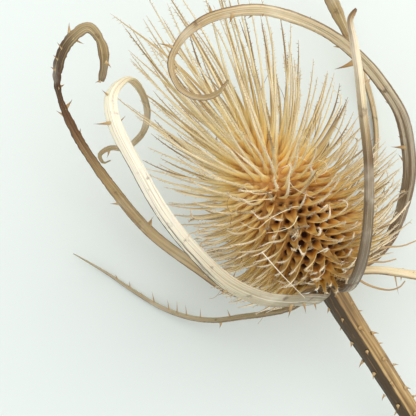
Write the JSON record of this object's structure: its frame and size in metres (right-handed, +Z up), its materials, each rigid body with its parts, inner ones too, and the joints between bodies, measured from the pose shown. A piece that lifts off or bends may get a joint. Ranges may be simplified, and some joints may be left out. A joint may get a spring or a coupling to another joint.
{
  "type": "teasel seed head",
  "caption": "Dried spiny egg-shaped seed head with long curling bracts round its base, on a short cut prickly stem, lying down.",
  "frame": {"origin": "middle of the bounding box at the level of the table it lies on", "axes": "+X along the lying plant from the cut stem towards the head's tip, +Z up from the table"},
  "size_m": [0.1176, 0.075, 0.0518],
  "materials": {
    "dry_stem": "dull",
    "dry_head": "satin",
    "dry_bract": "satin"
  },
  "bodies": {
    "root": {"stem": "dry_stem", "seed_head": "dry_head", "bract_front_left": "dry_bract", "bract_back_left": "dry_bract", "bract_low_left": "dry_bract", "bract_front_right": "dry_bract", "bract_arching": "dry_bract", "bract_side_right": "dry_bract", "bract_back_right": "dry_bract"}
  },
  "joints": []
}
